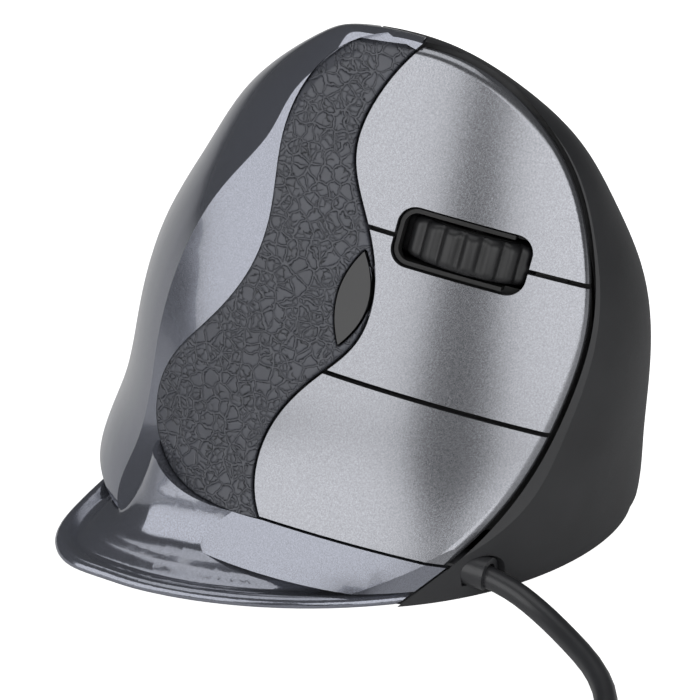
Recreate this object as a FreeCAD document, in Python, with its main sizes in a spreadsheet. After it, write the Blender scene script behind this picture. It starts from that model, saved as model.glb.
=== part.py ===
import FreeCAD, Part
import math
import os
from FreeCAD import Matrix, Placement, Rotation, Vector

# Upright right-handed computer mouse. Millimetres, +Z up, +Y towards the cable end,
# +X towards the finger side. The object rests on its glides at Z = 0.

# ---------------------------------------------------------------- driving values
VALUES = {
    # skins
    "wall": 2.2, "face_skin": 2.8, "shell_foot": 0.6, "fold_height": 3.0,
    "thumb_drop": 1.0, "seam_gap": 0.75, "grip_gap": 0.4, "grip_thick": 1.6,
    "grip_proud": 0.15, "button_thick": 2.0, "edge_roll": 1.6,
    # finger deck and boards
    "deck_top": 4.2, "deck_thick": 1.4, "board_level": 15.0, "board_thick": 1.6,
    "base_thick": 2.0, "glide_thick": 0.6, "main_board_level": 5.2,
    "main_board_long": 46.0, "main_board_wide": 30.0,
    # wheel
    "wheel_radius": 11.0, "wheel_width": 6.2, "wheel_proud": 2.0, "hub_radius": 8.6,
    "axle_radius": 1.0, "run_clearance": 0.05, "tyre_grooves": 28, "slot_half_long": 10.2,
    "slot_half_wide": 4.6, "slot_corner": 2.8, "carrier_wall": 1.2,
    # button pivots and switches
    "pin_radius": 0.9, "pin_half": 4.5, "pusher_radius": 1.4, "switch_long": 12.8,
    "switch_wide": 5.8, "switch_tall": 6.5, "key_side": 6.0, "key_tall": 3.5,
    "plunger_tall": 0.7, "plunger_sunk": 0.6, "pocket_deep": 1.3, "touch_gap": 0.08,
    # fasteners
    "screw_radius": 1.1, "screw_head": 2.1, "screw_long": 8.0,
    # cord
    "cord_radius": 1.7, "coil_radius": 17.2, "bundle_radius": 7.8,
}

# Horizontal sections of the grip form, bottom to top: height, centre x, centre y,
# half-widths to the right, front, left and back, then the corner fullness of the
# right-front, front-left, left-back and back-right quarters.
SECTIONS = [
    (0.0, -13.0, -0.5, 45.0, 44.0, 25.0, 44.0, 1.8, 2.5, 2.3, 1.9),
    (5.0, -13.0, -0.5, 43.0, 44.7, 25.0, 43.0, 1.8, 2.7, 2.3, 2.0),
    (12.0, -13.0, -0.5, 39.5, 44.7, 25.0, 41.0, 1.9, 2.8, 2.3, 1.9),
    (26.0, -13.5, 0.5, 35.0, 44.0, 24.3, 39.5, 1.85, 2.8, 2.3, 1.9),
    (40.0, -14.5, 1.5, 31.0, 41.5, 22.0, 36.5, 1.85, 2.6, 2.2, 1.95),
    (52.0, -14.0, 3.5, 25.0, 35.5, 19.0, 31.7, 1.9, 2.3, 2.1, 2.0),
    (62.0, -13.0, 5.5, 17.5, 28.5, 15.5, 27.5, 2.0, 2.1, 2.0, 2.0),
    (70.0, -11.0, 6.5, 11.5, 20.0, 11.0, 20.5, 2.0, 2.0, 2.0, 2.0),
    (75.0, -9.5, 6.0, 6.0, 12.5, 7.0, 13.5, 2.0, 2.0, 2.0, 2.0),
    (77.4, -8.5, 5.0, 3.5, 7.3, 3.5, 8.5, 2.0, 2.0, 2.0, 2.0),
    (78.2, -8.0, 4.0, 1.8, 3.0, 1.5, 4.5, 2.0, 2.0, 2.0, 2.0),
]
# The finger rest lip: one outline, drawn in by these steps as it rises.
LIP = (-4.0, -15.5, 42.0, 54.5, 28.0, 18.0, 1.7, 1.7, 2.3, 4.5)
LIP_RISE = [(0.6, 0.3), (1.0, 0.0), (1.5, 0.1), (1.8, 2.5), (2.0, 5.5), (2.6, 8.5),
            (4.2, 11.0), (8.0, 13.0), (14.0, 15.0)]

# Finger face: a shallow saddle-free dish seen along its own outward direction, flared
# at the foot. Its own axes: first along the fingers, second up the face, third outward.
FACE_ORIGIN = Vector(8.0, 12.5, 40.0)
FACE_TURN = 14.0
FACE_TILT = 21.0
FACE_BEND = 80.0
FACE_RISE_BEND = 500.0
FLARE_START = -20.0
FLARE_RATE = 0.0125
SEAM_TURN = -9.2

# Outlines on the finger face (along the fingers, up the face).
BUTTON_ARC = [(2.2, 41.0), (9.4, 39.2), (18.7, 33.4), (25.5, 25.1), (29.6, 13.5), (30.7, 1.8),
              (28.7, -9.5), (24.7, -20.7), (14.3, -35.9)]
BUTTON_REAR = [(-15.5, -32.9), (-17.3, -26.0), (-14.8, -17.4), (-8.0, -9.2), (-3.2, -4.0),
               (-1.2, 2.7), (-3.1, 13.6), (-6.2, 24.0), (-3.4, 33.6), (2.2, 41.0)]
GRIP_REAR = [(-3.5, 42.0), (-14.6, 34.5), (-17.8, 26.0), (-18.6, 13.0), (-20.6, 5.5),
             (-27.5, -4.5), (-34.0, -12.5), (-35.4, -21.0), (-31.0, -29.0), (-22.0, -32.4),
             (-12.0, -33.0)]
LENS_TIPS = [(-2.9, 9.9), (-5.6, -4.7)]
LENS_SIDES = [(-1.5, 2.4), (-6.3, 3.4)]
INDEX_SEAM = 12.9
RING_SEAM = -10.1
WHEEL_SPOT = (11.3, 11.55)
INDEX_SWITCH = (12.0, 23.5)
MIDDLE_SWITCH = (14.0, -6.0)
RING_SWITCH = (6.0, -22.0)
LENS_CENTRE = (-4.0, 2.6)
HINGES = {"index": (1.0, 27.0), "middle": (3.0, -3.0), "ring": (-9.0, -22.0)}

CASE_SCREWS = [(18.0, -19.0), (-12.0, -38.0), (-33.2, 8.0), (-8.0, 39.9)]
THUMB_KEYS = [("thumb_button_back", -6.0), ("thumb_button_front", 10.0)]
THUMB_KEY_LONG = 15.0
THUMB_KEY_LOW = 49.0
THUMB_KEY_TALL = 8.0
THUMB_BOARD_FACE = -23.5

CORD_ROUTE = [(12.4, 25.0, 4.6), (12.6, 35.5, 4.6), (14.3, 45.5, 1.75), (25.8, 61.9, 1.75),
              (42.5, 66.2, 1.75), (60.0, 65.8, 1.75), (77.0, 61.0, 1.75), (90.5, 59.2, 1.75)]
COIL_CENTRE = (86.5, 38.0)
LEAD_ROUTE = [(90.3, 59.7, 11.6), (102.5, 58.5, 12.3), (114.1, 50.9, 8.4), (116.5, 38.0, 4.5),
              (113.9, 27.0, 4.5), (109.5, 17.6, 4.5)]
PLUG_TURN = -25.0

doc = FreeCAD.newDocument("mouse")
sheet = doc.addObject("Spreadsheet::Sheet", "Sizes")
for line_number, (alias, number) in enumerate(VALUES.items(), start=1):
    sheet.set("A%d" % line_number, alias)
    sheet.set("B%d" % line_number, str(number))
    sheet.setAlias("B%d" % line_number, alias)
doc.recompute()


def size(alias):
    return float(sheet.get(alias))


# ---------------------------------------------------------------- frames
def face_axes():
    turn = math.radians(FACE_TURN)
    tilt = math.radians(FACE_TILT)
    out = Vector(math.cos(turn) * math.cos(tilt), math.sin(turn) * math.cos(tilt), math.sin(tilt))
    along = Vector(-math.sin(turn), math.cos(turn), 0.0)
    return along, out.cross(along), out


def face_frame():
    a, b, c = face_axes()
    o = FACE_ORIGIN
    return Placement(Matrix(a.x, b.x, c.x, o.x, a.y, b.y, c.y, o.y, a.z, b.z, c.z, o.z))


FACE = face_frame()


def face_level(along, up):
    flare = FLARE_RATE * max(0.0, FLARE_START - up) ** 2
    return flare - along ** 2 / (2 * FACE_BEND) - up ** 2 / (2 * FACE_RISE_BEND)


# ---------------------------------------------------------------- form builders
def section_wire(height, cx, cy, right, front, left, back, n_rf, n_fl, n_lb, n_br, inset=0.0):
    points = []
    count = 40
    for step in range(count):
        angle = 2 * math.pi * step / count + math.pi / count
        c, s = math.cos(angle), math.sin(angle)
        side = (right if c > 0 else left) - inset
        end = (front if s > 0 else back) - inset
        if c > 0:
            fullness = n_rf if s > 0 else n_br
        else:
            fullness = n_fl if s > 0 else n_lb
        reach = (abs(c / side) ** fullness + abs(s / end) ** fullness) ** (-1 / fullness)
        points.append(Vector(cx + reach * c, cy + reach * s, height))
    curve = Part.BSplineCurve()
    curve.interpolate(points, PeriodicFlag=True)
    return Part.Wire(curve.toShape())


def grip_form(inset=0.0):
    """The whole grip form, drawn in by an inset on every side and from the top."""
    wires = []
    top = SECTIONS[-1][0]
    for row in SECTIONS:
        if min(row[3:7]) - inset > 1.2:
            height = row[0] - inset * (row[0] / top) ** 2
            wires.append(section_wire(height, *row[1:], inset=inset))
    return Part.makeLoft(wires, True, False)


def lip_form():
    cx, cy, right, front, left, back = LIP[:6]
    wires = []
    for height, drawn in LIP_RISE:
        row = (cx, cy, right - drawn, front - drawn, left - drawn, back - 0.8 * drawn) + LIP[6:]
        wires.append(section_wire(height, *row))
    return Part.makeLoft(wires, True, False)


def face_surface():
    alongs = [-80.0 + 20.0 * step for step in range(9)]
    ups = [-70.0 + 5.0 * step for step in range(29)]
    grid = [[Vector(a, u, face_level(a, u)) for u in ups] for a in alongs]
    surface = Part.BSplineSurface()
    surface.interpolate(grid)
    return surface.toShape()


FACE_SKIN = face_surface()


def below_face(depth):
    """Everything at least this deep under the finger face."""
    skin = FACE_SKIN.copy()
    skin.translate(Vector(0, 0, -depth))
    solid = skin.extrude(Vector(0, 0, -160.0))
    solid.Placement = FACE * solid.Placement
    return solid


def layer(top, bottom):
    """The layer between two depths under the finger face, in the face frame."""
    skin = FACE_SKIN.copy()
    skin.translate(Vector(0, 0, -bottom))
    return skin.extrude(Vector(0, 0, bottom - top))


def curve_edge(points):
    vectors = [Vector(a, u, 0) for a, u in points]
    if len(vectors) == 2:
        return Part.makeLine(vectors[0], vectors[1])
    curve = Part.BSplineCurve()
    curve.interpolate(vectors)
    return curve.toShape()


def closed_outline(*runs):
    edges = [curve_edge(run) for run in runs]
    if (edges[-1].lastVertex().Point - edges[0].firstVertex().Point).Length > 1e-6:
        edges.append(Part.makeLine(edges[-1].lastVertex().Point, edges[0].firstVertex().Point))
    return Part.Wire(edges)


def grown(wire, distance):
    """The outline moved outwards, its smooth runs refitted as plain splines."""
    runs = []
    open_curve = False
    for edge in wire.makeOffset2D(distance).OrderedEdges:
        kind = edge.Curve.TypeId
        points = edge.discretize(2 if kind == "Part::GeomLine" else 9)
        if edge.Orientation == "Reversed":
            points.reverse()
        curved = kind == "Part::GeomOffsetCurve"
        if open_curve and curved and (points[1] - points[0]).getAngle(runs[-1][-1] - runs[-1][-2]) < 0.2:
            runs[-1] += points[1:]
        else:
            runs.append(points)
        open_curve = curved
    return Part.Wire([curve_edge([(p.x, p.y) for p in run]) for run in runs])


def prism(wire, grow=0.0, low=-60.0, high=40.0):
    """A straight column through an outline on the finger face, in the face frame."""
    outline = grown(wire, grow) if grow else wire
    face = Part.Face(outline)
    face.translate(Vector(0, 0, low))
    return face.extrude(Vector(0, 0, high - low))


def rounded_outline(half_long, half_wide, corner):
    a, b = half_long, half_wide
    flats = [((-a + corner, -b), (a - corner, -b)), ((a, -b + corner), (a, b - corner)),
             ((a - corner, b), (-a + corner, b)), ((-a, b - corner), (-a, -b + corner))]
    centres = [(a - corner, -b + corner), (a - corner, b - corner),
               (-a + corner, b - corner), (-a + corner, -b + corner)]
    edges = []
    for index, ((x0, y0), (x1, y1)) in enumerate(flats):
        edges.append(Part.makeLine(Vector(x0, y0, 0), Vector(x1, y1, 0)))
        cx, cy = centres[index]
        edges.append(Part.makeCircle(corner, Vector(cx, cy, 0), Vector(0, 0, 1),
                                     index * 90.0 - 90.0, index * 90.0))
    return Part.Wire(Part.__sortEdges__(edges))


def cylinder_at(radius, start, end):
    axis = end - start
    return Part.makeCylinder(radius, axis.Length, start, axis)


def add_shape(label, shape, placement=None, refined=True):
    node = doc.addObject("Part::Feature", label)
    node.Label = label
    node.Shape = shape.removeSplitter() if refined else shape
    if placement is not None:
        node.Placement = placement
    return node


# ---------------------------------------------------------------- shared outlines and solids
BUTTON_ZONE = closed_outline(BUTTON_ARC, [BUTTON_ARC[-1], BUTTON_REAR[0]], BUTTON_REAR)
GRIP_ZONE = closed_outline(GRIP_REAR, [GRIP_REAR[-1], (5.0, 0.0)], [(5.0, 0.0), (4.0, 39.0)],
                           [(4.0, 39.0), GRIP_REAR[0]])
LENS_ZONE = closed_outline([LENS_TIPS[0], LENS_SIDES[0], LENS_TIPS[1]],
                           [LENS_TIPS[1], LENS_SIDES[1], LENS_TIPS[0]])
FACE_SIDE = closed_outline(BUTTON_ARC, [BUTTON_ARC[-1], (7.0, -43.0)], [(7.0, -43.0), (4.0, -60.0)],
                           [(4.0, -60.0), (-70.0, -60.0)], [(-70.0, -60.0), (-70.0, 60.0)],
                           [(-70.0, 60.0), (-6.0, 60.0)], [(-6.0, 60.0), BUTTON_ARC[0]])
WALL = size("wall")
GAP = size("seam_gap")
FORM = grip_form()
CAVITY = grip_form(WALL).common(below_face(size("face_skin")))


def slab(low, high):
    return Part.makeBox(300, 300, high - low, Vector(-150, -150, low))


def rear_side(grow=0.0):
    """Everything behind the upright joint plane between the two shells."""
    block = Part.makeBox(300, 150, 200, Vector(-150, -150 + grow, -20))
    block.Placement = Placement(Vector(-7.0, 4.5, 0.0), Rotation(Vector(0, 0, 1), 29.5))
    return block


def palm_side(grow=0.0):
    rim = layer(-40.0, size("face_skin") + 0.6 + grow).common(prism(FACE_SIDE, grow))
    rim.Placement = FACE
    return rear_side(grow).fuse(rim)


def placed(shape):
    shape.Placement = FACE * shape.Placement
    return shape


def turned(spot, out=0.0):
    """A frame in the face frame, turned to the button seams."""
    along, up = spot
    return Placement(Vector(along, up, out), Rotation(Vector(0, 0, 1), SEAM_TURN))


def turned_box(spot, half_long, half_wide, low, high, shift=(0.0, 0.0)):
    box = Part.makeBox(2 * half_long, 2 * half_wide, high - low,
                       Vector(shift[0] - half_long, shift[1] - half_wide, 0))
    box.Placement = turned(spot, low)
    return box


def upright(spot, radius, low, high):
    return Part.makeCylinder(radius, high - low, Vector(spot[0], spot[1], low))


def wheel_level():
    return face_level(*WHEEL_SPOT) + size("wheel_proud") - size("wheel_radius")


# ---------------------------------------------------------------- shells
def palm_shell():
    body = FORM.common(below_face(0.0)).common(slab(size("fold_height"), 120.0))
    outer = body.fuse(lip_form())
    skin = outer.cut(CAVITY)
    for x, y in CASE_SCREWS[:2]:
        skin = skin.fuse(Part.makeCylinder(3.0, 10.0, Vector(x, y, 2.8)).common(outer))
    skin = skin.common(palm_side())
    opening = prism(BUTTON_ZONE, 0.05).fuse(prism(LENS_ZONE, 0.2))
    skin = skin.cut(placed(opening.common(layer(-40.0, size("face_skin") + 0.6))))
    pocket = prism(GRIP_ZONE, 0.06).common(layer(-40.0, size("grip_thick") + 0.05))
    skin = skin.cut(placed(pocket))
    for x, y in CASE_SCREWS[:2]:
        skin = skin.cut(Part.makeCylinder(size("screw_radius"), 8.0, Vector(x, y, 2.0)))
    return add_shape("palm_shell", skin, refined=False)


def key_outline(start, grow=0.0):
    half = THUMB_KEY_LONG / 2
    wire = rounded_outline(half + grow, THUMB_KEY_TALL / 2 + grow, 2.6 + grow)
    frame = Matrix(0, 0, 1, -60.0, 1, 0, 0, start + half, 0, 1, 0, THUMB_KEY_LOW + THUMB_KEY_TALL / 2)
    wire.Placement = Placement(frame)
    return Part.Face(wire).extrude(Vector(35.0, 0, 0))


def thumb_shell():
    outer = FORM.common(below_face(size("thumb_drop")))
    outer = outer.common(slab(size("shell_foot") + size("base_thick") + 0.15, 120.0))
    skin = outer.cut(CAVITY)
    for x, y in CASE_SCREWS[2:]:
        skin = skin.fuse(Part.makeCylinder(3.0, 10.0, Vector(x, y, 2.8)).common(outer))
    for y in (-3.0, 22.0):
        post = cylinder_at(2.0, Vector(-40.0, y, 45.5), Vector(THUMB_BOARD_FACE, y, 45.5))
        skin = skin.fuse(post.common(outer))
    skin = skin.cut(palm_side(0.3))
    rim = layer(-40.0, size("face_skin") + 0.6).common(prism(BUTTON_ZONE, GAP / 2))
    skin = skin.cut(placed(rim))
    for _, start in THUMB_KEYS:
        skin = skin.cut(key_outline(start, 0.25))
    x, _, z = CORD_ROUTE[0]
    skin = skin.cut(cylinder_at(2.75, Vector(x, 20, z), Vector(x, 45, z)))
    skin = skin.cut(Part.makeBox(5.5, 25, z - 1.0, Vector(x - 2.75, 20, 1.0)))
    for x, y in CASE_SCREWS[2:]:
        skin = skin.cut(Part.makeCylinder(size("screw_radius"), 8.0, Vector(x, y, 2.0)))
    return add_shape("thumb_shell", skin)


def base_plate():
    low = size("shell_foot")
    plate = slab(low, low + size("base_thick"))
    inner = grip_form(WALL + 0.25).common(below_face(size("face_skin") + 0.3))
    outer = grip_form(0.3).common(below_face(size("thumb_drop") + 0.3)).cut(palm_side(0.3))
    shape = plate.common(inner.fuse(outer))
    top = low + size("base_thick")
    for x, y in [(-26.0, -20.0), (-26.0, 22.0), (0.0, -20.0), (0.0, 22.0)]:
        shape = shape.fuse(Part.makeCylinder(1.9, size("main_board_level") - top, Vector(x, y, top)))
    for x, y in CASE_SCREWS:
        shape = shape.cut(Part.makeCylinder(size("screw_radius") + 0.03, 10.0, Vector(x, y, 0.0)))
        shape = shape.cut(Part.makeCylinder(size("screw_head") + 0.1, 1.1, Vector(x, y, low)))
    shape = shape.cut(Part.makeCylinder(4.2, 10.0, Vector(-13.0, 2.0, 0.0)))
    return add_shape("base_plate", shape)


# ---------------------------------------------------------------- finger face
def grip_inlay():
    shape = prism(GRIP_ZONE).common(layer(-size("grip_proud"), size("grip_thick")))
    shape = shape.cut(prism(BUTTON_ZONE, 0.1)).cut(prism(LENS_ZONE, 0.25))
    shape = placed(shape).common(grip_form(0.5))
    return add_shape("grip_inlay", shape)


def rolled_slab():
    """The sheet all three finger buttons are parted from, its outer edge rolled over."""
    sheet_shape = prism(BUTTON_ZONE, -GAP / 2).common(layer(0.0, size("button_thick")))
    arc = curve_edge(BUTTON_ARC)
    chosen = []
    for edge in sheet_shape.Edges:
        spots = [edge.valueAt(edge.FirstParameter + f * (edge.LastParameter - edge.FirstParameter))
                 for f in (0.2, 0.5, 0.8)]
        on_top = all(abs(p.z - face_level(p.x, p.y)) < 0.1 for p in spots)
        flat = [Part.Vertex(p.x, p.y, 0) for p in spots]
        if on_top and all(v.distToShape(arc)[0] < 0.8 for v in flat) and edge.Length > 20:
            chosen.append(edge)
    return sheet_shape.makeFillet(size("edge_roll"), chosen)


def pivot_level(name):
    return face_level(*HINGES[name]) - size("button_thick") - 1.1


def finger_button(name, sheet_shape, low_seam, high_seam, switch):
    middle = (low_seam + high_seam) / 2
    half = (high_seam - low_seam - GAP) / 2
    band = turned_box((0.0, 0.0), 60.0, half, -40.0, 40.0, (0.0, middle))
    shape = sheet_shape.common(band)
    slot = prism_at_wheel(size("slot_half_long"), size("slot_half_wide"), size("slot_corner"))
    shape = shape.cut(slot).cut(prism(LENS_ZONE, 0.35))
    shape = placed(shape).common(grip_form(0.2))
    spot = HINGES[name]
    level = pivot_level(name)
    pin = Part.makeCylinder(size("pin_radius"), 2 * size("pin_half"),
                            Vector(0, -size("pin_half"), 0), Vector(0, 1, 0))
    pin.Placement = turned(spot, level)
    web = turned_box(spot, 0.7, 2.0, level, level + 2.0)
    top = face_level(*switch) - 1.0
    foot = -size("board_level") + size("switch_tall") + size("plunger_tall") + size("touch_gap")
    pusher = upright(switch, size("pusher_radius"), foot, top)
    for extra in (pin, web, pusher):
        shape = shape.fuse(placed(extra))
    return add_shape(name + "_button", shape)


def prism_at_wheel(half_long, half_wide, corner, low=-60.0, high=40.0):
    column = Part.Face(rounded_outline(half_long, half_wide, corner)).extrude(Vector(0, 0, high - low))
    column.Placement = turned(WHEEL_SPOT, low)
    return column


def mode_button():
    shape = prism(LENS_ZONE, -0.05).common(layer(-0.35, size("button_thick")))
    foot = -size("board_level") + size("key_tall") + size("plunger_tall") + size("touch_gap")
    shape = shape.fuse(upright(LENS_CENTRE, size("pusher_radius"), foot, -0.8))
    return add_shape("mode_button", placed(shape))


def button_deck():
    top = size("deck_top")
    bottom = top + size("deck_thick")
    shape = prism(BUTTON_ZONE, 4.0).common(layer(top, bottom))
    shape = shape.cut(prism_at_wheel(13.8, 6.2, 2.0))
    flange = prism_at_wheel(15.5, 8.5, 2.0).common(layer(top - 1.0, top + 0.2))
    flange = flange.cut(prism_at_wheel(9.25, 3.65, 2.0))
    rim = prism_at_wheel(9.85, 4.25, 2.5).cut(prism_at_wheel(9.25, 3.65, 2.0))
    rim = rim.common(layer(0.7, top)).common(turned_box(WHEEL_SPOT, 9.0, 5.0, -20.0, 20.0, (-2.0, 0.0)))
    shape = shape.fuse(flange).fuse(rim)
    room = Part.makeCylinder(size("wheel_radius") + 0.4, 7.3, Vector(0, -3.65, 0), Vector(0, 1, 0))
    room.Placement = turned(WHEEL_SPOT, wheel_level())
    shape = shape.cut(room)
    for name, spot in HINGES.items():
        level = pivot_level(name)
        bore = Part.makeCylinder(size("pin_radius") + size("run_clearance"), 10.0,
                                 Vector(0, -5.0, 0), Vector(0, 1, 0))
        bore.Placement = turned(spot, level)
        shape = shape.cut(bore)
        for side in (-3.5, 3.5):
            post = turned_box(spot, 1.6, 0.9, level - 2.6, level + 1.35, (0.0, side))
            post = post.common(layer(size("button_thick") + 0.25, bottom))
            shape = shape.fuse(post.cut(bore))
    for spot in (INDEX_SWITCH, MIDDLE_SWITCH, RING_SWITCH):
        shape = shape.cut(upright(spot, size("pusher_radius") + 0.4, -30.0, 5.0))
    for spot in ((-7.5, 26.0), (24.0, -12.0), (-11.0, -14.0)):
        shape = shape.fuse(upright(spot, 1.8, -size("board_level"), face_level(*spot) - top - 0.3))
        rest = upright(spot, 2.2, -40.0, 20.0).common(layer(size("face_skin") + 0.02, top + 0.3))
        if spot[0] < 0:
            shape = shape.fuse(rest)
    for end in (-14.4, 14.4):
        peg = Part.makeCylinder(0.8, 14.0 - top - 0.4, Vector(end, 0, -14.0))
        peg.Placement = turned(WHEEL_SPOT, 0.0)
        shape = shape.fuse(peg.common(layer(top + 0.2, 30.0)))
    shape = shape.cut(upright(LENS_CENTRE, size("pusher_radius") + size("run_clearance"), -30.0, 5.0))
    shape = placed(shape).common(grip_form(WALL + 0.5)).common(slab(9.5, 80.0))
    return add_shape("button_deck", shape, refined=False)


# ---------------------------------------------------------------- wheel
def scroll_tyre():
    radius = size("wheel_radius")
    half = size("wheel_width") / 2
    tyre = Part.makeCylinder(radius, 2 * half, Vector(0, -half, 0), Vector(0, 1, 0))
    rims = [edge for edge in tyre.Edges if abs(edge.Length - 2 * math.pi * radius) < 0.1]
    tyre = tyre.makeFillet(1.3, rims)
    tyre = tyre.cut(Part.makeCylinder(size("hub_radius"), 10, Vector(0, -5, 0), Vector(0, 1, 0)))
    count = int(size("tyre_grooves"))
    for step in range(count):
        angle = 2 * math.pi * step / count
        place = Vector((radius + 0.25) * math.cos(angle), -half, (radius + 0.25) * math.sin(angle))
        tyre = tyre.cut(Part.makeCylinder(0.85, 2 * half, place, Vector(0, 1, 0)))
    return add_shape("scroll_tyre", tyre, FACE * turned(WHEEL_SPOT, wheel_level()))


def scroll_hub():
    half = size("wheel_width") / 2
    radius = size("hub_radius")
    hub = Part.makeCylinder(radius, 2 * half, Vector(0, -half, 0), Vector(0, 1, 0))
    for side in (-1, 1):
        recess = Part.makeCylinder(radius - 1.4, 1.9, Vector(0, side * half, 0), Vector(0, -side, 0))
        recess = recess.cut(Part.makeCylinder(2.4, 1.9, Vector(0, side * half, 0), Vector(0, -side, 0)))
        hub = hub.cut(recess)
    hub = hub.cut(Part.makeCylinder(size("axle_radius"), 10, Vector(0, -5, 0), Vector(0, 1, 0)))
    return add_shape("scroll_hub", hub, FACE * turned(WHEEL_SPOT, wheel_level()))


def wheel_axle():
    node = doc.addObject("Part::Cylinder", "wheel_axle")
    node.Label = "wheel_axle"
    node.setExpression("Radius", "Sizes.axle_radius")
    node.Height = 15.4
    base = Placement(Vector(0, -6.9, 0), Rotation(Vector(1, 0, 0), -90))
    node.Placement = FACE * turned(WHEEL_SPOT, wheel_level()) * base
    return node


def wheel_carrier():
    wall = size("carrier_wall")
    inner_wide = 4.4
    ring = Part.makeBox(26.4, 2 * (inner_wide + wall), 4.6, Vector(-13.2, -inner_wide - wall, -3.0))
    ring = ring.cut(Part.makeBox(24.0, 2 * inner_wide, 10, Vector(-12.0, -inner_wide, -5.0)))
    ring = ring.cut(Part.makeBox(8.0, 20.0, 3.0, Vector(6.5, -10.0, 0.0)))
    for end in (-1, 1):
        lug = Part.makeBox(4.0, 5.0, 3.0, Vector(-2.0 + end * 14.4, -2.5, -4.4))
        ring = ring.fuse(lug)
        ring = ring.cut(Part.makeCylinder(0.85, 10, Vector(end * 14.4, 0, -6.0)))
    key_top = -size("board_level") + size("key_tall") + size("plunger_tall") + size("touch_gap")
    arm_low = key_top - wheel_level()
    ring = ring.fuse(Part.makeBox(6.0, 6.6, 1.5, Vector(-3.0, -12.0, arm_low)))
    ring = ring.cut(Part.makeCylinder(size("axle_radius") + size("run_clearance"), 20,
                                      Vector(0, -10, 0), Vector(0, 1, 0)))
    return add_shape("wheel_carrier", ring, FACE * turned(WHEEL_SPOT, wheel_level()))


def wheel_encoder():
    case = Part.makeBox(8.0, 2.9, 5.1, Vector(-4.0, 5.65, -3.5))
    case = case.cut(Part.makeCylinder(size("axle_radius") + size("run_clearance"), 20,
                                      Vector(0, -10, 0), Vector(0, 1, 0)))
    return add_shape("wheel_encoder", case, FACE * turned(WHEEL_SPOT, wheel_level()))


# ---------------------------------------------------------------- switches and boards
def switch_with_plunger(name, sides, pin_radius, place):
    """A switch case with a blind pocket, and the plunger that slides in it."""
    case = doc.addObject("Part::Box", name + "_case")
    for prop, alias in zip(("Length", "Width", "Height"), sides):
        case.setExpression(prop, "Sizes." + alias)
    pocket = doc.addObject("Part::Cylinder", name + "_pocket")
    pocket.Radius = pin_radius + size("run_clearance")
    pocket.setExpression("Height", "Sizes.pocket_deep")
    long, wide, tall = [size(alias) for alias in sides]
    pocket.Placement = Placement(Vector(long / 2, wide / 2, tall - size("pocket_deep")), Rotation())
    switch = doc.addObject("Part::Cut", name + "_switch")
    switch.Label = name + "_switch"
    switch.Base = case
    switch.Tool = pocket
    switch.Placement = place * Placement(Vector(-long / 2, -wide / 2, 0), Rotation())
    plunger = doc.addObject("Part::Cylinder", name + "_plunger")
    plunger.Label = name + "_plunger"
    plunger.Radius = pin_radius
    plunger.setExpression("Height", "Sizes.plunger_tall + Sizes.plunger_sunk")
    plunger.Placement = place * Placement(Vector(0, 0, tall - size("plunger_sunk")), Rotation())


def micro_switch(name, spot):
    switch_with_plunger(name, ("switch_long", "switch_wide", "switch_tall"), 0.9,
                        FACE * turned(spot, -size("board_level")))


def key_switch(name, place):
    switch_with_plunger(name, ("key_side", "key_side", "key_tall"), 1.5, place)


def wheel_key_spot():
    spot = turned(WHEEL_SPOT).multVec(Vector(0.0, -8.6, 0.0))
    return spot.x, spot.y


def button_board():
    level = size("board_level")
    board = Part.makeBox(37.0, 56.0, size("board_thick"), Vector(-14.0, -26.0, -level - size("board_thick")))
    board = board.cut(prism_at_wheel(10.6, 4.2, 2.0))
    shape = placed(board).common(grip_form(WALL + 0.8))
    return add_shape("button_board", shape)


def sketched_plate(label, half_x, half_y, thick, place, hole=None):
    """A rectangular plate drawn and padded in its own body, with an optional round hole."""
    body = doc.addObject("PartDesign::Body", label)
    body.Label = label
    plane = [f for f in body.Origin.OriginFeatures if f.Role == "XY_Plane"][0]
    sketch = body.newObject("Sketcher::SketchObject", label + "_sketch")
    sketch.AttachmentSupport = [(plane, "")]
    sketch.MapMode = "FlatFace"
    corners = [Vector(-half_x, -half_y, 0), Vector(half_x, -half_y, 0),
               Vector(half_x, half_y, 0), Vector(-half_x, half_y, 0)]
    for index in range(4):
        sketch.addGeometry(Part.LineSegment(corners[index], corners[(index + 1) % 4]), False)
    if hole is not None:
        x, y, radius = hole
        sketch.addGeometry(Part.Circle(Vector(x, y, 0), Vector(0, 0, 1), radius), False)
    pad = body.newObject("PartDesign::Pad", label + "_pad")
    pad.Profile = sketch
    if isinstance(thick, str):
        pad.setExpression("Length", "Sizes." + thick)
    else:
        pad.Length = thick
    sketch.Visibility = False
    body.Placement = place
    return body


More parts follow.
